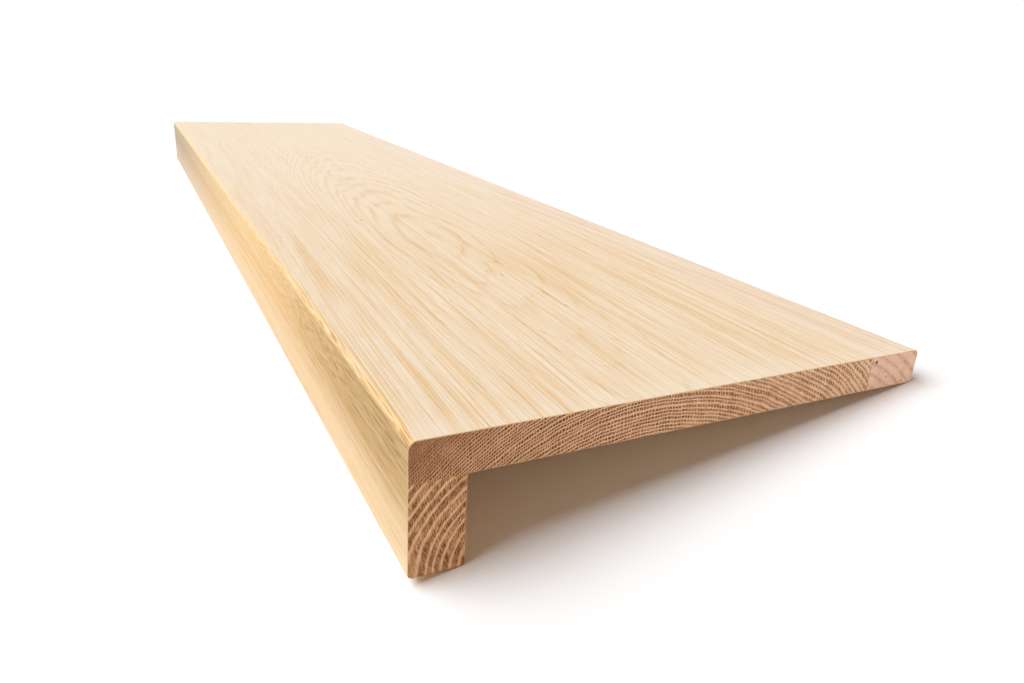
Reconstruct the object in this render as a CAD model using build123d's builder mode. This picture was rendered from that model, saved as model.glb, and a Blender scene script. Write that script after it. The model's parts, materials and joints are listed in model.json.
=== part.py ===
from build123d import *
import os
from math import atan2, cos, sin

# Retrofit stair tread of solid oak: a board glued up from a wide and a narrow stave, with a strip
# glued under its front edge to make a deep nose. It lies as it would on a level floor, on the heel
# of its nose and the lower arris of its back edge, so its section leans back by a few degrees.
# X runs along the step, Y from the nose to the back, Z up. The origin is on the floor, in the middle
# of the tread's outline seen from above. Millimetres.

# Driving dimensions
tread_length = 1219.2
tread_depth = 292.1
board_thickness = 19.05
nose_height = 63.5
nosing_thickness = 25.4
back_stave_width = 36.0

# Edges eased along the length, and the small arris taken off the sawn ends
front_top_radius = 4.0
front_bottom_radius = 2.4
back_top_radius = 2.4
resting_radius = 1.6
end_arris = 0.5

# Lean of the section when the nose's heel and the back edge both touch the floor. Both have the same
# radius, so the floor is parallel to the line that joins their corners.
nosing_drop = nose_height - board_thickness
lean = atan2(nosing_drop, tread_depth - nosing_thickness)


def leaned(depth, height):
    """Y and Z of a point of the section, given by its depth from the front and height from the
    nose's underside, turned about the front lower corner by the lean."""
    y = depth * cos(lean) + height * sin(lean)
    z = height * cos(lean) - depth * sin(lean)
    return y, z


# Extremes of the leaned section: each is the centre of an eased corner, less or plus its radius
front_reach = leaned(front_bottom_radius, front_bottom_radius)[0] - front_bottom_radius
back_reach = leaned(tread_depth - back_top_radius, nose_height - back_top_radius)[0] + back_top_radius
floor_level = leaned(nosing_thickness - resting_radius, resting_radius)[1] - resting_radius

# Plane of the section: its X goes from front to back and its Y up the nose
section_plane = Plane(
    origin=(0, -(front_reach + back_reach) / 2, -floor_level),
    x_dir=(0, cos(lean), -sin(lean)),
    z_dir=(1, 0, 0),
)

# The tread as it is glued up, machined and cut to length
with BuildPart() as blank:
    with BuildSketch(section_plane):
        with BuildLine():
            Polyline(
                (0, 0),
                (nosing_thickness, 0),
                (nosing_thickness, nosing_drop),
                (tread_depth, nosing_drop),
                (tread_depth, nose_height),
                (0, nose_height),
                close=True,
            )
        make_face()
        fillet(vertices().group_by(Axis.X)[0].sort_by(Axis.Y)[-1], front_top_radius)
        fillet(vertices().group_by(Axis.X)[0].sort_by(Axis.Y)[0], front_bottom_radius)
        fillet(vertices().group_by(Axis.X)[-1].sort_by(Axis.Y)[-1], back_top_radius)
        fillet(vertices().group_by(Axis.X)[-1].sort_by(Axis.Y)[0], resting_radius)
        fillet(vertices().group_by(Axis.Y)[0].sort_by(Axis.X)[-1], resting_radius)
    extrude(amount=tread_length / 2, both=True)
    chamfer(faces().filter_by(Axis.X).edges(), end_arris)

# Glue planes: the nosing's faces up at the board's underside, the back stave's faces back
nosing_glue_plane = Plane(
    origin=section_plane.from_local_coords((0, nosing_drop, 0)),
    x_dir=section_plane.z_dir,
    z_dir=section_plane.y_dir,
)
stave_glue_plane = Plane(
    origin=section_plane.from_local_coords((tread_depth - back_stave_width, nosing_drop, 0)),
    x_dir=section_plane.z_dir,
    z_dir=section_plane.x_dir,
)

# Strip under the front edge
with BuildPart() as nosing_strip:
    add(blank.part)
    split(bisect_by=nosing_glue_plane, keep=Keep.BOTTOM)

# Wide flat-sawn stave, from the front edge to the glue line near the back
with BuildPart() as wide_stave:
    add(blank.part)
    split(bisect_by=nosing_glue_plane, keep=Keep.TOP)
    split(bisect_by=stave_glue_plane, keep=Keep.BOTTOM)

# Narrow stave along the back edge
with BuildPart() as back_stave:
    add(blank.part)
    split(bisect_by=stave_glue_plane, keep=Keep.TOP)

wide_stave.part.label = "wide_stave"
back_stave.part.label = "back_stave"
nosing_strip.part.label = "nosing_strip"

os.makedirs("parts", exist_ok=True)
export_step(wide_stave.part, "parts/wide_stave.step")
export_step(back_stave.part, "parts/back_stave.step")
export_step(nosing_strip.part, "parts/nosing_strip.step")
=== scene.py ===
import json
import math
from dataclasses import dataclass

import bmesh
import bpy
from mathutils import Matrix, Vector, noise


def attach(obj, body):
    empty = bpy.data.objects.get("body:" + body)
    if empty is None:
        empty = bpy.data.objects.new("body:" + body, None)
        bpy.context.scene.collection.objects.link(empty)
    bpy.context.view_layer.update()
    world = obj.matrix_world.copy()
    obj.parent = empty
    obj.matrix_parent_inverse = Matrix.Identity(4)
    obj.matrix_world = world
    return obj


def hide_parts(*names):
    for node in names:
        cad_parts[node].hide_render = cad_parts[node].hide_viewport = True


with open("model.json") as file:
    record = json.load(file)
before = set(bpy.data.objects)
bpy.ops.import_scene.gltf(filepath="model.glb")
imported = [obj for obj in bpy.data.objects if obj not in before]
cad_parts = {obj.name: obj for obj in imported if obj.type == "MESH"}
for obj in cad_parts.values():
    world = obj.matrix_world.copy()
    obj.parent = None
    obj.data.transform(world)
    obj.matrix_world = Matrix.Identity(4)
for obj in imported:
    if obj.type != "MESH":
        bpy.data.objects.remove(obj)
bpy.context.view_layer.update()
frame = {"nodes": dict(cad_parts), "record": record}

# A glued-up oak stair tread. Each stick of wood is built in the tread's own frame, which is level and
# starts in the middle of the nose's front lower edge: X along the step, Y from front to back, Z up. The
# shader reads that frame in millimetres, so growth rings run through the wood and agree on all faces.

MM = 0.001

# Eased edges and sawn ends, in metres. The arrises of the two ends ripple apart from each other.
FRONT_TOP_RADIUS = 4.0 * MM
FRONT_BOTTOM_RADIUS = 2.4 * MM
BACK_TOP_RADIUS = 2.4 * MM
RESTING_RADIUS = 1.6 * MM
END_ARRIS = 0.5 * MM
ARRIS_VARIES = 0.6
ARRIS_RIPPLE = 2.6 * MM
ARRIS_APART = 7.3

# Fineness of the meshes
ARC_STEPS = 10
ARRIS_STEPS = 3
OUTLINE_STEP = 2 * MM
LENGTH_STEP = 40 * MM
SHARP_ANGLE = math.radians(12)

# Share of a texture's height that each sawn end gets, the gap between its bands, and the room that a
# hidden glue face and the underside get there, as a share of what a face that shows would get
END_BAND = 0.11
BAND_GAP = 0.008
GLUED_ROOM = 0.03
UNDERSIDE_ROOM = 0.6

# The photograph's camera, in the tread's own frame
IMAGE_WIDTH_PX = 1024
SENSOR_WIDTH_MM = 36.0
FOCAL_LENGTH_PX = 753.4
CAMERA_EYE = Vector((0.8497, -0.0835, 0.2025))
CAMERA_AIM = Vector((0.5265, 0.0853, 0.0635))
CAMERA_ROLL = math.radians(3.2)
CAMERA_NEAREST = 0.01

# Floor, background and light
FLOOR_SIZE = 60.0
FLOOR_COLOUR = (0.97, 0.97, 0.97, 1.0)
FLOOR_ROUGHNESS = 0.9
FLOOR_SPECULAR = 0.0
# The floor's faint orange glow to camera rays: painted warm light in its shadow
FLOOR_PAINTED_GLOW = 0.03
FLOOR_PAINTED_GLOW_COLOUR = (1.0, 0.30, 0.05, 1.0)
BACKDROP_LIGHT = 1.0
BACKDROP_COLOUR = (1.0, 1.0, 1.0, 1.0)
SKY_LIGHT = 0.21
SKY_COLOUR = (1.0, 0.72, 0.53, 1.0)
SUN_LIGHT = 2.98
SUN_COLOUR = (0.965, 1.05, 1.11)
SUN_ANGLE = math.radians(52)
SUN_FROM = Vector((-0.28, -0.46, 1.0))
FILL_LIGHT = 0.56
FILL_COLOUR = (1.0, 0.92, 0.82)
FILL_ANGLE = math.radians(8)
FILL_FROM = Vector((1.0, 0.15, 0.04))


# The tread's own frame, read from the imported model

mounts = {mount["name"]: mount for mount in frame["record"]["mounts"]}
tread_up = Vector(mounts["walking_surface"]["axis"])
tread_back = Vector(mounts["back_edge"]["axis"])
tread_along = tread_back.cross(tread_up)


def own_box(node):
    """Lowest and highest corners of a CAD node along the tread's own axes."""
    axes = (tread_along, tread_back, tread_up)
    spans = [[vertex.co.dot(axis) for vertex in frame["nodes"][node].data.vertices] for axis in axes]
    return Vector(map(min, spans)), Vector(map(max, spans))


nosing_low, nosing_high = own_box("nosing_strip")
back_low, back_high = own_box("back_stave")
tread_corner = Vector((0, nosing_low.y, nosing_low.z))

HALF_LENGTH = nosing_high.x
NOSING_THICKNESS = nosing_high.y - tread_corner.y
BOARD_UNDERSIDE = nosing_high.z - tread_corner.z
GLUE_LINE = back_low.y - tread_corner.y
TREAD_DEPTH = back_high.y - tread_corner.y
NOSE_HEIGHT = back_high.z - tread_corner.z

tread_axes = Matrix((tread_along, tread_back, tread_up)).transposed().to_4x4()
tread_to_row = tread_axes @ Matrix.Translation(tread_corner)


# Meshes

@dataclass
class OutlinePoint:
    """A point of a section, the way its end arris takes it in, and its place round the outline."""
    place: Vector
    inward: Vector
    room: float = 0.0


def section_outline(corners, glued):
    """Points round a section with square corners, anticlockwise seen from the +X end.

    Each corner is (depth, height, radius). glued holds the numbers of the edges, counted from their
    first corner, that are glue faces: they keep their place where the end arris takes in the others."""
    places = [Vector(corner[:2]) for corner in corners]
    radii = [corner[2] for corner in corners]
    count = len(corners)
    ways = [(places[(i + 1) % count] - places[i]).normalized() for i in range(count)]
    points = []
    for i in range(count):
        before, after = ways[i - 1], ways[i]
        free_before, free_after = (i - 1) % count not in glued, i not in glued
        if radii[i] > 0:
            centre = places[i] + radii[i] * (after - before)
            for step in range(ARC_STEPS + 1):
                turn = math.pi / 2 * step / ARC_STEPS
                inward = after * math.cos(turn) - before * math.sin(turn)
                points.append(OutlinePoint(centre - radii[i] * inward, inward))
        else:
            points.append(OutlinePoint(places[i], after * free_before - before * free_after))
        start = places[i] + radii[i] * after
        run = places[(i + 1) % count] - radii[(i + 1) % count] * after - start
        steps = max(1, round(run.length / OUTLINE_STEP))
        inward = Vector((-after.y, after.x)) * free_after
        for step in range(1, steps):
            points.append(OutlinePoint(start + run * step / steps, inward))
    return points


def lay_out(points, underside):
    """Gives each outline point its share of the way round the texture, and returns the whole way."""
    total = 0.0
    for point, following in zip(points, points[1:] + points[:1]):
        point.room = total
        edge = following.place - point.place
        room = edge.length
        if min(point.inward.length, following.inward.length) == 0:
            room *= GLUED_ROOM
        elif abs(point.place.y - underside) < MM and abs(following.place.y - underside) < MM:
            room *= UNDERSIDE_ROOM
        total += room
    return total


def arris_size(place, end):
    """Width of the arris at a point of a sawn end, which the saw and sandpaper left uneven."""
    ripple = noise.noise(Vector((end * ARRIS_APART, place.x / ARRIS_RIPPLE, place.y / ARRIS_RIPPLE)))
    return END_ARRIS * (1 + ARRIS_VARIES * ripple)


def section_rings(points):
    """Rings of (x, depth, height) from one sawn end to the other, with the arrises at both ends."""
    inner = HALF_LENGTH - END_ARRIS * (1 + ARRIS_VARIES)
    stations = round(2 * inner / LENGTH_STEP)
    rings = []
    for end in (-1, 1):
        arris = []
        for step in range(ARRIS_STEPS + 1):
            turn = math.pi / 2 * step / ARRIS_STEPS
            ring = []
            for point in points:
                size = arris_size(point.place, end)
                x = end * (HALF_LENGTH - size * (1 - math.cos(turn)))
                place = point.place + point.inward * size * (1 - math.sin(turn))
                ring.append(Vector((x, *place)))
            arris.append(ring)
        if end < 0:
            rings += arris
            for station in range(stations + 1):
                x = -inner + 2 * inner * station / stations
                rings.append([Vector((x, *point.place)) for point in points])
        else:
            rings += arris[::-1]
    return rings


def stick(name, corners, glued, material):
    """One stick of wood as a mesh, with a map that gives its sawn ends room for their fine grain."""
    points = section_outline(corners, glued)
    low = Vector((min(p.place.x for p in points), min(p.place.y for p in points)))
    high = Vector((max(p.place.x for p in points), max(p.place.y for p in points)))
    way_round = lay_out(points, low.y)
    rings = section_rings(points)
    sides_room = 1 - 2 * (END_BAND + BAND_GAP)
    count = len(points)

    work = bmesh.new()
    uv = work.loops.layers.uv.new("OFBake")
    verts = [[work.verts.new(place) for place in ring] for ring in rings]

    def side_uv(vert, room):
        return ((vert.co.x + HALF_LENGTH) / (2 * HALF_LENGTH), room / way_round * sides_room)

    for ring, following in zip(verts, verts[1:]):
        for i in range(count):
            j = (i + 1) % count
            rooms = (points[i].room, points[j].room if j else way_round)
            face = work.faces.new((ring[i], following[i], following[j], ring[j]))
            for loop, room in zip(face.loops, (rooms[0], rooms[0], rooms[1], rooms[1])):
                loop[uv].uv = side_uv(loop.vert, room)

    for band, ring in enumerate((verts[0], verts[-1][::-1])):
        cap = work.faces.new(ring)
        floor = sides_room + BAND_GAP + band * (END_BAND + BAND_GAP)
        for loop in cap.loops:
            share = Vector(loop.vert.co.yz) - low
            loop[uv].uv = (share.x / (high.x - low.x), floor + share.y / (high.y - low.y) * END_BAND)
        bmesh.ops.triangulate(work, faces=[cap])

    bmesh.ops.recalc_face_normals(work, faces=work.faces)
    mesh = bpy.data.meshes.new(name)
    work.to_mesh(mesh)
    work.free()
    mesh.polygons.foreach_set("use_smooth", [True] * len(mesh.polygons))
    mesh.set_sharp_from_angle(angle=SHARP_ANGLE)
    mesh.materials.append(material)
    made = bpy.data.objects.new(name, mesh)
    made.matrix_world = tread_to_row
    bpy.context.scene.collection.objects.link(made)
    return made


# Shader arithmetic

# Sockets of a mix node that blends colours, by number because their names repeat
MIX_SHARE = 0
MIX_FIRST = 6
MIX_SECOND = 7
MIX_RESULT = 2


class Field:
    """A number that varies over a surface. It adds, multiplies and divides as plain numbers do."""

    def __init__(self, graph, socket):
        self.graph = graph
        self.socket = socket

    def __add__(self, other):
        return self.graph.math("ADD", self, other)

    def __radd__(self, other):
        return self.graph.math("ADD", other, self)

    def __sub__(self, other):
        return self.graph.math("SUBTRACT", self, other)

    def __rsub__(self, other):
        return self.graph.math("SUBTRACT", other, self)

    def __mul__(self, other):
        return self.graph.math("MULTIPLY", self, other)

    def __rmul__(self, other):
        return self.graph.math("MULTIPLY", other, self)

    def __truediv__(self, other):
        return self.graph.math("DIVIDE", self, other)

    def __pow__(self, other):
        return self.graph.math("POWER", self, other)

    def __abs__(self):
        return self.graph.math("ABSOLUTE", self)

    def rise(self, low, high):
        """Goes smoothly from 0 at low to 1 at high, or falls where high is the lower."""
        return self.graph.rise(self, low, high)


class Graph:
    """A material's nodes, added by short calls that return fields or colours."""

    def __init__(self, name):
        self.material = bpy.data.materials.new(name)
        self.material.use_nodes = True
        self.tree = self.material.node_tree
        self.shader = self.tree.nodes["Principled BSDF"]

    def feed(self, socket, value):
        if isinstance(value, Field):
            value = value.socket
        if isinstance(value, bpy.types.NodeSocket):
            self.tree.links.new(value, socket)
        else:
            socket.default_value = value

    def node(self, kind, inputs, **settings):
        made = self.tree.nodes.new(kind)
        for key, value in settings.items():
            setattr(made, key, value)
        for key, value in inputs.items():
            self.feed(made.inputs[key], value)
        return made

    def math(self, operation, *values):
        made = self.node("ShaderNodeMath", dict(enumerate(values)), operation=operation)
        return Field(self, made.outputs[0])

    def rise(self, value, low, high):
        inputs = {"Value": value, "From Min": min(low, high), "From Max": max(low, high)}
        inputs["To Min"], inputs["To Max"] = (0.0, 1.0) if low < high else (1.0, 0.0)
        made = self.node("ShaderNodeMapRange", inputs, interpolation_type="SMOOTHSTEP")
        return Field(self, made.outputs["Result"])

    def point(self, x, y, z):
        return self.node("ShaderNodeCombineXYZ", {"X": x, "Y": y, "Z": z}).outputs[0]

    def parts(self, vector):
        made = self.node("ShaderNodeSeparateXYZ", {"Vector": vector})
        return [Field(self, output) for output in made.outputs]

    def noise(self, x, y, z, detail, roughness=0.5):
        """Noise with a grain of about 1, between about 0.2 and 0.8."""
        inputs = {"Vector": self.point(x, y, z), "Scale": 1.0, "Detail": detail, "Roughness": roughness}
        return Field(self, self.node("ShaderNodeTexNoise", inputs).outputs[0])

    def cells(self, x, y, z):
        """Distance to the nearest of many scattered points that lie about 1 apart."""
        inputs = {"Vector": self.point(x, y, z), "Scale": 1.0}
        return Field(self, self.node("ShaderNodeTexVoronoi", inputs).outputs["Distance"])

    def ramp(self, value, stops):
        """A colour between evenly spaced stops, as value goes from 0 to 1."""
        made = self.node("ShaderNodeValToRGB", {"Fac": value})
        elements = made.color_ramp.elements
        while len(elements) < len(stops):
            elements.new(0.5)
        for i, colour in enumerate(stops):
            elements[i].position = i / (len(stops) - 1)
            elements[i].color = colour
        return made.outputs["Color"]

    def mix(self, share, first, second, blend="MIX"):
        made = self.node("ShaderNodeMix", {}, data_type="RGBA", blend_type=blend)
        self.feed(made.inputs[MIX_SHARE], share)
        self.feed(made.inputs[MIX_FIRST], first)
        self.feed(made.inputs[MIX_SECOND], second)
        return made.outputs[MIX_RESULT]


def between(low, high, share):
    """A value that goes from low to high as share goes from 0 to 1."""
    return low + (high - low) * share


def rgb(red, green, blue):
    return (red, green, blue, 1.0)


# Oak. Its lengths are in millimetres, and those along the step are counted from the +X end. Most pairs
# of values are the two ends of a rise: nothing shows at the first value, and all of it at the second.

@dataclass
class Fleck:
    """A dark spot in the wood: the place of its middle, its radius across the grain and its strength."""
    along: float
    depth: float
    height: float
    radius: float
    strength: float


@dataclass
class Growth:
    """How a stick was cut from its log, in the tread's own frame, and its colours.

    The pith, the log's centre line, comes nearest to the top at the apex and falls away from there,
    which draws the closed figure on a flat-sawn face. The fibres drift back along the step and wander,
    and the rings ripple. From front to back the rings widen from ring_front to ring_back, and the sawn
    ends go from end_front_with_painted_light to end_back_with_painted_light: partly their own tone and
    partly painted light, brighter towards the back. On those ends late_share is the pale part of a ring
    and grit the strength of the finest specks. In their front corner, further than close_grain from the
    pith, the grain is faint. The seed keeps the sticks' noise apart."""
    pith_depth: float
    pith_height: float
    drift: float
    apex: float
    fall: float
    fall_power: float
    wander: float
    ripple: float
    ring_front: float
    ring_back: float
    close_grain: float
    late_share: float
    ray_gap: float
    ray_strength: float
    pore_strength: float
    pore_length: float
    line_strength: float
    grit: float
    seed: float
    face_pale: tuple
    face_warm: tuple
    face_pore: tuple
    end_tones: tuple
    end_front_with_painted_light: float
    end_back_with_painted_light: float
    fleck_colour: tuple
    flecks: tuple = ()


@dataclass
class Wood:
    """Where a point of a stick lies in the tread and in its log, and which face it is on.

    run is its place along the step plus the stick's seed, and strand is about the depth at which its
    fibre meets the +X end. radius and arc are its distance from the pith and the way round it, and rays
    is that way counted in steps that widen with the rings. phase is its place in a ring, from 0 to 1,
    and contrast is how strongly the end grain shows there. The faces are shares from 0 to 1."""
    along: Field
    run: Field
    depth: Field
    strand: Field
    height: Field
    radius: Field
    arc: Field
    rays: Field
    phase: Field
    contrast: Field
    end_face: Field
    front_face: Field
    eased: Field
    arris: Field


# Slow bends of the fibres, sideways and up, the quick ripples of the rings, and the distance from the
# apex where the fall is measured. The fibres bend further sideways than up.
BEND_LENGTH = 260
BEND_WIDTH = 55
LIFT_WIDTH = 42
LIFT_OFFSET = 31.7
SIDEWAYS_TO_UP = 2
RIPPLE_LENGTH = 140
RIPPLE_WIDTH = 9
FALL_REACH = 100

# How many rings in a row are alike in width, and how much such groups differ
RINGS_ALIKE = 4
RING_WIDTH_VARIES = 1.3

# End grain: how far its faint corner blends out, how strong it is there, and how it calms to the back
CLOSE_GRAIN_BLEND = 6
OPEN_GRAIN_DEPTH = (40, 90)
CLOSE_GRAIN_CONTRAST = 0.4
FRONT_CONTRAST = 1.7
BACK_CONTRAST = 0.65
CALMING_DEPTH = (20, 200)

# Faces told apart by the normal: ends and their arrises by its part along X, the front and the eased
# edge above it by its part along Y
END_NORMAL = (0.55, 0.95)
ARRIS_NORMAL_LEAST = (0.1, 0.3)
ARRIS_NORMAL_MOST = (0.99, 0.9)
FRONT_NORMAL = (-0.75, -0.98)
EASED_NORMAL_LEAST = (-0.05, -0.35)
EASED_NORMAL_MOST = (-0.98, -0.80)
EASED_HEIGHT = (50, 58)


def across(depth, front, back):
    """A value that goes evenly from front to back over the depth of the tread."""
    return front + depth * ((back - front) * MM / TREAD_DEPTH)


def cut_from_log(graph, growth):
    """Finds where each point of a stick lies in the tread and in its log."""
    coordinates = graph.node("ShaderNodeTexCoord", {})
    x, depth, height = [part * (1 / MM) for part in graph.parts(coordinates.outputs["Object"])]
    normal_x, normal_y, _ = graph.parts(coordinates.outputs["Normal"])
    along = HALF_LENGTH / MM - x
    run = along + growth.seed

    bend_run = run / BEND_LENGTH
    lift_run = bend_run + LIFT_OFFSET
    bend = graph.noise(bend_run, depth / BEND_WIDTH, height / BEND_WIDTH, detail=1.0)
    lift = graph.noise(lift_run, depth / LIFT_WIDTH, height / LIFT_WIDTH, detail=1.0)
    ripple = graph.noise(run / RIPPLE_LENGTH, depth / RIPPLE_WIDTH, height / RIPPLE_WIDTH, detail=2.0)
    fall = growth.fall * (abs(along - growth.apex) / FALL_REACH) ** growth.fall_power
    strand = depth - growth.drift * along + growth.wander * SIDEWAYS_TO_UP * (bend - 0.5)

    out_y = strand - growth.pith_depth
    out_z = height - growth.pith_height + fall + growth.wander * (lift - 0.5)
    radius = graph.math("SQRT", out_y * out_y + out_z * out_z) + growth.ripple * (ripple - 0.5)
    arc = graph.math("ARCTAN2", out_y, out_z) * radius

    ring = across(depth, growth.ring_front, growth.ring_back)
    widths = graph.noise(radius / (RINGS_ALIKE * growth.ring_front), growth.seed, 0.0, detail=1.0)
    top_radius = NOSE_HEIGHT / MM - growth.pith_height
    phase = graph.math("FRACT", (radius - top_radius) / ring + RING_WIDTH_VARIES * (widths - 0.5))

    # The rays stand apart in step with the rings, and a logarithm counts such steps
    widening = growth.ring_back / growth.ring_front - 1
    rays = arc
    if widening:
        reach = TREAD_DEPTH / MM / widening
        rays = reach * graph.math("LOGARITHM", 1 + (arc + growth.pith_depth) / reach, math.e)

    close_grain, blend = growth.close_grain, CLOSE_GRAIN_BLEND
    open_grain = radius.rise(close_grain + blend, close_grain - blend)
    open_grain = graph.math("MAXIMUM", open_grain, depth.rise(*OPEN_GRAIN_DEPTH))
    calm = between(FRONT_CONTRAST, BACK_CONTRAST, depth.rise(*CALMING_DEPTH))
    eased = normal_y.rise(*EASED_NORMAL_LEAST) * normal_y.rise(*EASED_NORMAL_MOST)
    return Wood(
        along, run, depth, strand, height, radius, arc, rays, phase,
        contrast=between(CLOSE_GRAIN_CONTRAST, 1, open_grain) * calm,
        end_face=abs(normal_x).rise(*END_NORMAL),
        front_face=normal_y.rise(*FRONT_NORMAL),
        eased=eased * height.rise(*EASED_HEIGHT),
        arris=abs(normal_x).rise(*ARRIS_NORMAL_LEAST) * abs(normal_x).rise(*ARRIS_NORMAL_MOST),
    )


# Planed faces: the noise behind their marks, which offsets keep apart, and the values it shows between
PATCH_NOISE = {"length": 170, "width": 9, "detail": 1.0}
PATCH_EDGE = (0.30, 0.62)
LENS_NOISE = {"length": 150, "width": 6, "detail": 1.0, "offset": 57}
LENS_EDGE = (0.48, 0.70)
STREAK_NOISE = {"length": 170, "width": 0.9, "detail": 3.0, "roughness": 0.6, "offset": 23}
FINE_NOISE = {"length": 90, "width": 0.45, "detail": 2.0, "roughness": 0.6, "offset": 91}

# Ring lines, crisp near the +X end and soft further on, and where along the step the figure shows most
CRISP_LINE_PHASE = (0.34, 0.0)
SOFT_LINE_PHASE = (0.2, 0.5)
SOFT_LINE_STRENGTH = 0.8
SOFTENING = (150, 480)
FIGURE_COMING = (90, 300)
FIGURE_GOING = (1000, 550)
FIGURE_LEAST = 0.15
FIGURE_MOST = 0.45

# Warmth of a face, how its marks add to it, how it pales along the step in a painted sheen and also
# just by the +X end, and how its marks weaken along the step
FACE_WARMTH = 0.25
LENS_STRENGTH = 0.26
STREAK_STRENGTH = 1.8
FINE_STRENGTH = 2.1
PAINTED_SHEEN_ALONG = (150, 700)
PALING_AT_END = (22, 0)
PALING_STRENGTH = 0.2
VIVID_NEAR = 1.2
VIVID_FAR = 0.45
WEAKENING = (50, 450)

# Pores of the planed faces. They are larger and more on the upper front near the +X end.
PORE_LENGTH = 30
PORE_WIDTH = 0.7
PORE_EDGE = (0.30, 0.14)
PORES_ANYWHERE = 0.2
PORES_ON_LINES = 0.8
PORES_ON_FRONT = 0.7
PORE_DARKNESS = 0.65
FRONT_PORES_LARGER = 0.14
FRONT_PORES_HEIGHT = (15, 45)
FRONT_PORES_ALONG = (450, 150)


def grain(graph, wood, length, width, detail, roughness=0.5, offset=0.0):
    """Noise drawn out along the fibres to a length and a width."""
    run = (wood.run + offset) / length
    return graph.noise(run, wood.strand / width, wood.height / width, detail, roughness)


def face_colour(graph, wood, growth):
    """Planed faces: pale wood with fine warm streaks, wider warm lenses, ring lines and pores, paling
    towards the far end in a painted sheen.
    """
    crisp_line = wood.phase.rise(*CRISP_LINE_PHASE)
    soft_line = SOFT_LINE_STRENGTH * abs(wood.phase - 0.5).rise(*SOFT_LINE_PHASE)
    ring_line = between(crisp_line, soft_line, wood.along.rise(*SOFTENING))
    patch = grain(graph, wood, **PATCH_NOISE).rise(*PATCH_EDGE)
    shown = wood.along.rise(*FIGURE_COMING) * wood.along.rise(*FIGURE_GOING)
    figure = between(FIGURE_LEAST, FIGURE_MOST, shown) * ring_line * patch

    lens = grain(graph, wood, **LENS_NOISE).rise(*LENS_EDGE) * (1 - wood.front_face)
    streak = grain(graph, wood, **STREAK_NOISE)
    fine = grain(graph, wood, **FINE_NOISE)
    marks = LENS_STRENGTH * lens + STREAK_STRENGTH * (streak - 0.5) + FINE_STRENGTH * (fine - 0.5)
    vivid = between(VIVID_NEAR, VIVID_FAR, wood.along.rise(*WEAKENING))
    # Painted sheen: the face pales towards the far end; it also pales just by the +X end
    painted_sheen_and_end_paling = PALING_STRENGTH * (wood.along.rise(*PAINTED_SHEEN_ALONG) + wood.along.rise(*PALING_AT_END))
    tone = FACE_WARMTH + figure - painted_sheen_and_end_paling + vivid * marks
    colour = graph.mix(tone, growth.face_pale, growth.face_warm)

    on_front = graph.math("MAXIMUM", wood.front_face, wood.eased)
    on_front = on_front * wood.height.rise(*FRONT_PORES_HEIGHT) * wood.along.rise(*FRONT_PORES_ALONG)
    to_pore = graph.cells(wood.run / PORE_LENGTH, wood.strand / PORE_WIDTH, wood.height / PORE_WIDTH)
    many = PORES_ANYWHERE + PORES_ON_LINES * crisp_line + PORES_ON_FRONT * on_front
    pores = (to_pore - FRONT_PORES_LARGER * on_front).rise(*PORE_EDGE) * many
    colour = graph.mix(PORE_DARKNESS * pores, colour, growth.face_pore)
    return colour, streak, pores


# Tones of the front and of the eased edge above it, and where they set in. The front's tan towards its
# top and olive towards the +X end are partly the darker wood of the wide stave's edge and partly painted
# shade; its grey towards the other end is painted shade.
TAN_WITH_PAINTED_SHADE = rgb(0.94, 0.73, 0.32)
OLIVE_WITH_PAINTED_SHADE = rgb(0.62, 0.50, 0.27)
FAR_PAINTED_SHADE = rgb(0.56, 0.60, 0.79)
GOLDEN_SHADE = rgb(0.98, 0.88, 0.66)
OLIVE_ALONG = (350, 30)
FAR_ALONG = (350, 1200)
PAINTED_SHADE_HEIGHT = (8, 52)
SHADE_IN_STREAKS = (0.8, 1.2)
TAN_SHARE = 0.7
LOW_FAR_SHARE = 0.6


def front_tone_and_painted_shade(graph, wood, colour, streak):
    """The front darkens to tan towards its top and to olive towards the +X end, partly its wood's own
    tone and partly painted shade, and greys towards the other end in painted shade. The eased edge above
    it is golden."""
    near = wood.along.rise(*OLIVE_ALONG)
    upper = wood.height.rise(*PAINTED_SHADE_HEIGHT)
    # Painted shade, partly the wood's own tone: the front darkens towards its top and the +X end
    shade = graph.mix(near, TAN_WITH_PAINTED_SHADE, OLIVE_WITH_PAINTED_SHADE)
    share = wood.front_face * upper * between(*SHADE_IN_STREAKS, streak) * between(TAN_SHARE, 1, near)
    colour = graph.mix(share, colour, shade, "MULTIPLY")
    # Painted shade: the front greys towards the far end
    far = wood.front_face * wood.along.rise(*FAR_ALONG) * between(LOW_FAR_SHARE, 1, upper)
    colour = graph.mix(far, colour, FAR_PAINTED_SHADE, "MULTIPLY")
    return graph.mix(wood.eased, colour, GOLDEN_SHADE, "MULTIPLY")


# Sawn ends: size of their marks along the log, round it and out from the pith, and where marks show.
# The specks and the grit take their size out from the pith from the stick's own length of pore, and the
# edges of a pale line are shares of the stick's late_share.
RAY_BEND_SIZE = (30, 5, 9)
RAY_BEND = 2.2
RAY_EDGE = (0.26, 0.46)
ROW_SIZE = (40, 12, 2.2)
ROW_EDGE = (0.34, 0.62)
ROW_LEAST = 0.4
BLOTCH_SIZE = (40, 6, 6)
BLOTCH_STRENGTH = 0.6
SPECK_SIZE = (8, 0.6)
SPECK_EDGE = (0.36, 0.60)
SPECK_STRENGTH = 0.9
GRIT_SIZE = (8, 0.5)
GRIT_TO_PORE = 0.8
LATE_LINE_EDGE = (0.8, 0.2)
LATE_LINE_GRIT = 0.5
END_TONE = 0.48

# Glue lines on the sawn ends, and how much they show where the blotches' noise is 0 and where it is 1
GLUE_COLOUR = rgb(0.50, 0.27, 0.06)
GLUE_WIDTH = 0.5
GLUE_SHOWS = (-0.6, 1.8)


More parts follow.
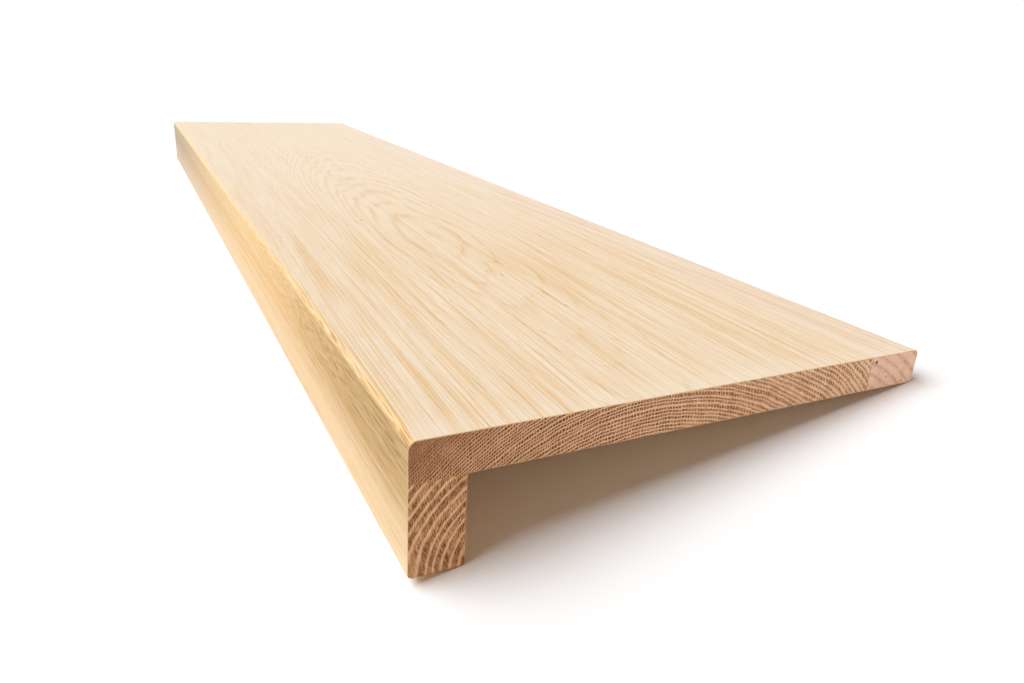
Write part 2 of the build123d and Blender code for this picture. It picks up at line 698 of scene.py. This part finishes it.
def log_noise(graph, wood, way_round, size, detail, offset=0.0):
    """Noise with a size along the log, round it and out from its pith."""
    length, width, thickness = size
    return graph.noise((wood.run + offset) / length, way_round / width, wood.radius / thickness, detail)


def end_colour(graph, wood, growth):
    """Sawn ends: rows of dark pores along the rings, crossed by thin pale rays. They lighten towards the
    back, partly their own tone and partly painted light.
    """
    late_start, late_full = [0.5 - edge * growth.late_share for edge in LATE_LINE_EDGE]
    late_line = abs(wood.phase - 0.5).rise(late_start, late_full)
    bend = log_noise(graph, wood, wood.rays, RAY_BEND_SIZE, detail=2.0)
    rays = graph.math("FRACT", wood.rays / growth.ray_gap + RAY_BEND * bend)
    ray_line = growth.ray_strength * abs(rays - 0.5).rise(*RAY_EDGE)

    speck_size = (*SPECK_SIZE, growth.pore_length)
    grit_size = (*GRIT_SIZE, GRIT_TO_PORE * growth.pore_length)
    speck = log_noise(graph, wood, wood.arc, speck_size, detail=1.0, offset=11)
    grit = log_noise(graph, wood, wood.arc, grit_size, detail=1.0, offset=71)
    blotch = log_noise(graph, wood, wood.arc, BLOTCH_SIZE, detail=2.0, offset=37)
    row = log_noise(graph, wood, wood.rays, ROW_SIZE, detail=1.0).rise(*ROW_EDGE)

    dot = (1 - late_line) * (1 - ray_line) * speck.rise(*SPECK_EDGE) * between(ROW_LEAST, 1, row)
    dot = dot * wood.contrast
    bright = graph.math("MAXIMUM", late_line, ray_line) * wood.contrast
    rough = SPECK_STRENGTH * (speck - 0.5) + growth.grit * (grit - 0.5)
    rough = rough * between(1, LATE_LINE_GRIT, late_line)
    tone = END_TONE - growth.pore_strength * dot + growth.line_strength * bright
    tone = tone + rough + BLOTCH_STRENGTH * (blotch - 0.5)
    # Partly the ends' own tone, partly painted light: they lighten towards the back of the tread
    shade = across(wood.depth, growth.end_front_with_painted_light, growth.end_back_with_painted_light)
    colour = graph.ramp(tone * shade, growth.end_tones)

    nosing_back = NOSING_THICKNESS / MM
    under_board = abs(wood.height - BOARD_UNDERSIDE / MM).rise(GLUE_WIDTH, 0)
    under_board = under_board * wood.depth.rise(nosing_back + GLUE_WIDTH, nosing_back)
    between_staves = abs(wood.depth - GLUE_LINE / MM).rise(GLUE_WIDTH, 0)
    glue = graph.math("MAXIMUM", under_board, between_staves) * between(*GLUE_SHOWS, blotch)
    return graph.mix(glue, colour, GLUE_COLOUR), speck, dot


# Flecks: how much longer they are along the grain, and the part of their radius that is fully dark
FLECK_STRETCH = 4
FLECK_CORE = 0.5

# Arrises, shine and relief of unfinished oak, with the height of the relief in metres
ARRIS_COLOUR = rgb(0.78, 0.50, 0.22)
ARRIS_SHARE = 0.8
OAK_SPECULAR = 0.25
PLANED_ROUGHNESS = 0.55
SAWN_ROUGHER = 0.20
STREAK_ROUGHER = 0.12
PORE_ROUGHER = 0.10
GRAIN_RELIEF = 0.5
FACE_PORE_RELIEF = 0.7
END_PORE_RELIEF = 0.8
RELIEF_STRENGTH = 0.35
RELIEF_HEIGHT = 0.12 * MM


def fleck_share(graph, wood, flecks):
    """How much a point is darkened by the flecks, which are drawn out along the grain."""
    share = 0.0
    for fleck in flecks:
        lengthwise = (wood.along - fleck.along) / FLECK_STRETCH
        away = (lengthwise, wood.depth - fleck.depth, wood.height - fleck.height)
        distance = graph.math("SQRT", sum(part * part for part in away))
        dark = fleck.strength * distance.rise(fleck.radius, FLECK_CORE * fleck.radius)
        share = graph.math("MAXIMUM", dark, share)
    return share


def oak(name, growth):
    """Unfinished oak with its growth rings, pores and rays in the solid, and sawn end grain."""
    graph = Graph(name)
    wood = cut_from_log(graph, growth)
    face, streak, pores = face_colour(graph, wood, growth)
    face = front_tone_and_painted_shade(graph, wood, face, streak)
    end, speck, dot = end_colour(graph, wood, growth)
    colour = graph.mix(wood.end_face, face, end)
    colour = graph.mix(ARRIS_SHARE * wood.arris, colour, ARRIS_COLOUR)
    colour = graph.mix(fleck_share(graph, wood, growth.flecks), colour, growth.fleck_colour)
    graph.feed(graph.shader.inputs["Base Color"], colour)
    graph.feed(graph.shader.inputs["Specular IOR Level"], OAK_SPECULAR)
    roughness = PLANED_ROUGHNESS + SAWN_ROUGHER * wood.end_face
    roughness = roughness + STREAK_ROUGHER * (streak - 0.5) + PORE_ROUGHER * pores
    graph.feed(graph.shader.inputs["Roughness"], roughness)
    planed = GRAIN_RELIEF * streak - FACE_PORE_RELIEF * pores
    sawn = GRAIN_RELIEF * speck - END_PORE_RELIEF * dot
    relief = planed * (1 - wood.end_face) + sawn * wood.end_face
    bump_inputs = {"Height": relief, "Strength": RELIEF_STRENGTH, "Distance": RELIEF_HEIGHT}
    bump = graph.node("ShaderNodeBump", bump_inputs)
    graph.feed(graph.shader.inputs["Normal"], bump.outputs[0])
    return graph.material


# The three logs. The wide stave's flecks lie in the walking surface, the back stave's on its sawn end.
TOP = NOSE_HEIGHT / MM

wide_growth = Growth(
    pith_depth=117.0, pith_height=-76.5, drift=0.034, apex=317.0, fall=2.32, fall_power=1.36,
    wander=4.0, ripple=1.5, ring_front=1.35, ring_back=2.8, close_grain=174.0, late_share=0.42,
    ray_gap=1.15, ray_strength=0.85, pore_strength=0.72, pore_length=0.7, line_strength=0.44,
    grit=2.2, seed=0.0,
    face_pale=rgb(0.95, 0.79, 0.61),
    face_warm=rgb(0.80, 0.48, 0.175),
    face_pore=rgb(0.52, 0.27, 0.09),
    end_tones=(
        rgb(0.12, 0.045, 0.015),
        rgb(0.50, 0.235, 0.11),
        rgb(0.81, 0.48, 0.28),
        rgb(1.0, 0.72, 0.47),
    ),
    end_front_with_painted_light=0.38, end_back_with_painted_light=1.3,
    fleck_colour=rgb(0.45, 0.14, 0.01),
    flecks=(
        Fleck(along=385.0, depth=92.0, height=TOP, radius=1.1, strength=0.45),
        Fleck(along=197.5, depth=134.6, height=TOP, radius=1.0, strength=0.4),
        Fleck(along=127.6, depth=143.7, height=TOP, radius=0.8, strength=0.5),
    ),
)
back_growth = Growth(
    pith_depth=217.0, pith_height=-28.0, drift=0.0, apex=300.0, fall=1.2, fall_power=1.2,
    wander=3.0, ripple=1.5, ring_front=6.2, ring_back=6.2, close_grain=500.0, late_share=0.75,
    ray_gap=1.9, ray_strength=0.1, pore_strength=0.15, pore_length=1.6, line_strength=0.60,
    grit=1.2, seed=911.0,
    face_pale=rgb(0.95, 0.79, 0.63),
    face_warm=rgb(0.80, 0.515, 0.265),
    face_pore=rgb(0.55, 0.35, 0.19),
    end_tones=(
        rgb(0.34, 0.17, 0.10),
        rgb(0.78, 0.445, 0.305),
        rgb(0.98, 0.70, 0.53),
    ),
    end_front_with_painted_light=1.0, end_back_with_painted_light=1.0,
    fleck_colour=rgb(0.13, 0.06, 0.035),
    flecks=(
        Fleck(along=0.0, depth=259.5, height=60.5, radius=1.3, strength=0.9),
        Fleck(along=0.0, depth=270.0, height=51.0, radius=0.8, strength=0.7),
        Fleck(along=0.0, depth=283.5, height=46.5, radius=0.8, strength=0.7),
    ),
)
nosing_growth = Growth(
    pith_depth=58.0, pith_height=1.0, drift=0.002, apex=420.0, fall=0.9, fall_power=1.3,
    wander=2.0, ripple=1.6, ring_front=3.9, ring_back=3.9, close_grain=500.0, late_share=0.33,
    ray_gap=0.95, ray_strength=0.5, pore_strength=0.38, pore_length=1.9, line_strength=0.18,
    grit=1.5, seed=407.0,
    face_pale=rgb(0.91, 0.665, 0.405),
    face_warm=rgb(0.785, 0.50, 0.215),
    face_pore=rgb(0.55, 0.34, 0.14),
    end_tones=(
        rgb(0.126, 0.038, 0.012),
        rgb(0.62, 0.31, 0.137),
        rgb(0.88, 0.58, 0.33),
    ),
    end_front_with_painted_light=1.0, end_back_with_painted_light=1.0,
    fleck_colour=rgb(0.13, 0.06, 0.035),
)


# The three sticks

def dress(piece, node):
    """Puts a piece in the place of a CAD node, on the tread's only body."""
    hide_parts(node)
    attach(piece, "root")


wide_stave = stick(
    "wide_stave_oak",
    [(0, BOARD_UNDERSIDE, 0), (NOSING_THICKNESS, BOARD_UNDERSIDE, 0), (GLUE_LINE, BOARD_UNDERSIDE, 0),
     (GLUE_LINE, NOSE_HEIGHT, 0), (0, NOSE_HEIGHT, FRONT_TOP_RADIUS)],
    {0, 2},
    oak("oak_wide_stave", wide_growth),
)
back_stave = stick(
    "back_stave_oak",
    [(GLUE_LINE, BOARD_UNDERSIDE, 0), (TREAD_DEPTH, BOARD_UNDERSIDE, RESTING_RADIUS),
     (TREAD_DEPTH, NOSE_HEIGHT, BACK_TOP_RADIUS), (GLUE_LINE, NOSE_HEIGHT, 0)],
    {3},
    oak("oak_back_stave", back_growth),
)
nosing_strip = stick(
    "nosing_strip_oak",
    [(0, 0, FRONT_BOTTOM_RADIUS), (NOSING_THICKNESS, 0, RESTING_RADIUS),
     (NOSING_THICKNESS, BOARD_UNDERSIDE, 0), (0, BOARD_UNDERSIDE, 0)],
    {2},
    oak("oak_nosing", nosing_growth),
)
dress(wide_stave, "wide_stave")
dress(back_stave, "back_stave")
dress(nosing_strip, "nosing_strip")


# Floor, light and camera

def seen_directly(tree):
    """1 for rays that show the background itself: straight, mirrored or through glass."""
    path = tree.nodes.new("ShaderNodeLightPath")
    seen = path.outputs["Is Camera Ray"]
    for name in ("Is Glossy Ray", "Is Transmission Ray"):
        either = tree.nodes.new("ShaderNodeMath")
        either.operation = "MAXIMUM"
        tree.links.new(seen, either.inputs[0])
        tree.links.new(path.outputs[name], either.inputs[1])
        seen = either.outputs[0]
    return seen


def white_floor():
    """A plain pale floor that keeps the tread's shadow and runs into the white background. Seen directly
    it glows faintly orange, which paints warm light into that shadow.
    """
    mesh = bpy.data.meshes.new("floor")
    half = FLOOR_SIZE / 2
    corners = [(-half, -half, 0), (half, -half, 0), (half, half, 0), (-half, half, 0)]
    mesh.from_pydata(corners, [], [(0, 1, 2, 3)])
    floor = bpy.data.objects.new("floor", mesh)
    bpy.context.scene.collection.objects.link(floor)

    material = bpy.data.materials.new("white_floor")
    material.use_nodes = True
    tree = material.node_tree
    shader = tree.nodes["Principled BSDF"]
    shader.inputs["Base Color"].default_value = FLOOR_COLOUR
    shader.inputs["Roughness"].default_value = FLOOR_ROUGHNESS
    shader.inputs["Specular IOR Level"].default_value = FLOOR_SPECULAR
    # Painted warm light: the floor glows faintly orange where it is seen directly
    lift = tree.nodes.new("ShaderNodeMath")
    lift.operation = "MULTIPLY"
    tree.links.new(seen_directly(tree), lift.inputs[0])
    lift.inputs[1].default_value = FLOOR_PAINTED_GLOW
    shader.inputs["Emission Color"].default_value = FLOOR_PAINTED_GLOW_COLOUR
    tree.links.new(lift.outputs[0], shader.inputs["Emission Strength"])
    mesh.materials.append(material)


def soft_lamp(name, strength, colour, angle, source):
    """A distant lamp as wide as angle, in the direction of source."""
    lamp = bpy.data.lights.new(name, "SUN")
    lamp.energy = strength
    lamp.color = colour
    lamp.angle = angle
    holder = bpy.data.objects.new(name, lamp)
    holder.rotation_mode = "QUATERNION"
    holder.rotation_quaternion = source.to_track_quat("Z", "Y")
    bpy.context.scene.collection.objects.link(holder)


def soft_light():
    """An even warm sky, a wide soft lamp high over the front and a weak low one before the +X end."""
    world = bpy.data.worlds.new("studio")
    bpy.context.scene.world = world
    world.use_nodes = True
    tree = world.node_tree
    lighting = tree.nodes["Background"]
    lighting.inputs["Strength"].default_value = SKY_LIGHT
    lighting.inputs["Color"].default_value = SKY_COLOUR
    backdrop = tree.nodes.new("ShaderNodeBackground")
    backdrop.inputs["Color"].default_value = BACKDROP_COLOUR
    backdrop.inputs["Strength"].default_value = BACKDROP_LIGHT
    either = tree.nodes.new("ShaderNodeMixShader")
    tree.links.new(seen_directly(tree), either.inputs[0])
    tree.links.new(lighting.outputs[0], either.inputs[1])
    tree.links.new(backdrop.outputs[0], either.inputs[2])
    tree.links.new(either.outputs[0], tree.nodes["World Output"].inputs["Surface"])

    soft_lamp("softbox", SUN_LIGHT, SUN_COLOUR, SUN_ANGLE, SUN_FROM)
    soft_lamp("fill", FILL_LIGHT, FILL_COLOUR, FILL_ANGLE, FILL_FROM)


def photo_camera():
    """The photograph's viewpoint, carried from the tread's own frame to where the tread lies."""
    camera = bpy.data.cameras.new("camera")
    camera.sensor_width = SENSOR_WIDTH_MM
    camera.lens = FOCAL_LENGTH_PX / IMAGE_WIDTH_PX * SENSOR_WIDTH_MM
    camera.clip_start = CAMERA_NEAREST
    camera.clip_end = 2 * FLOOR_SIZE
    look = (CAMERA_AIM - CAMERA_EYE).to_track_quat("-Z", "Y").to_matrix().to_4x4()
    roll = Matrix.Rotation(CAMERA_ROLL, 4, "Z")
    holder = bpy.data.objects.new("camera", camera)
    holder.matrix_world = tread_to_row @ Matrix.Translation(CAMERA_EYE) @ look @ roll
    bpy.context.scene.collection.objects.link(holder)
    bpy.context.scene.camera = holder


white_floor()
soft_light()
photo_camera()
bpy.context.scene.view_settings.view_transform = "Standard"
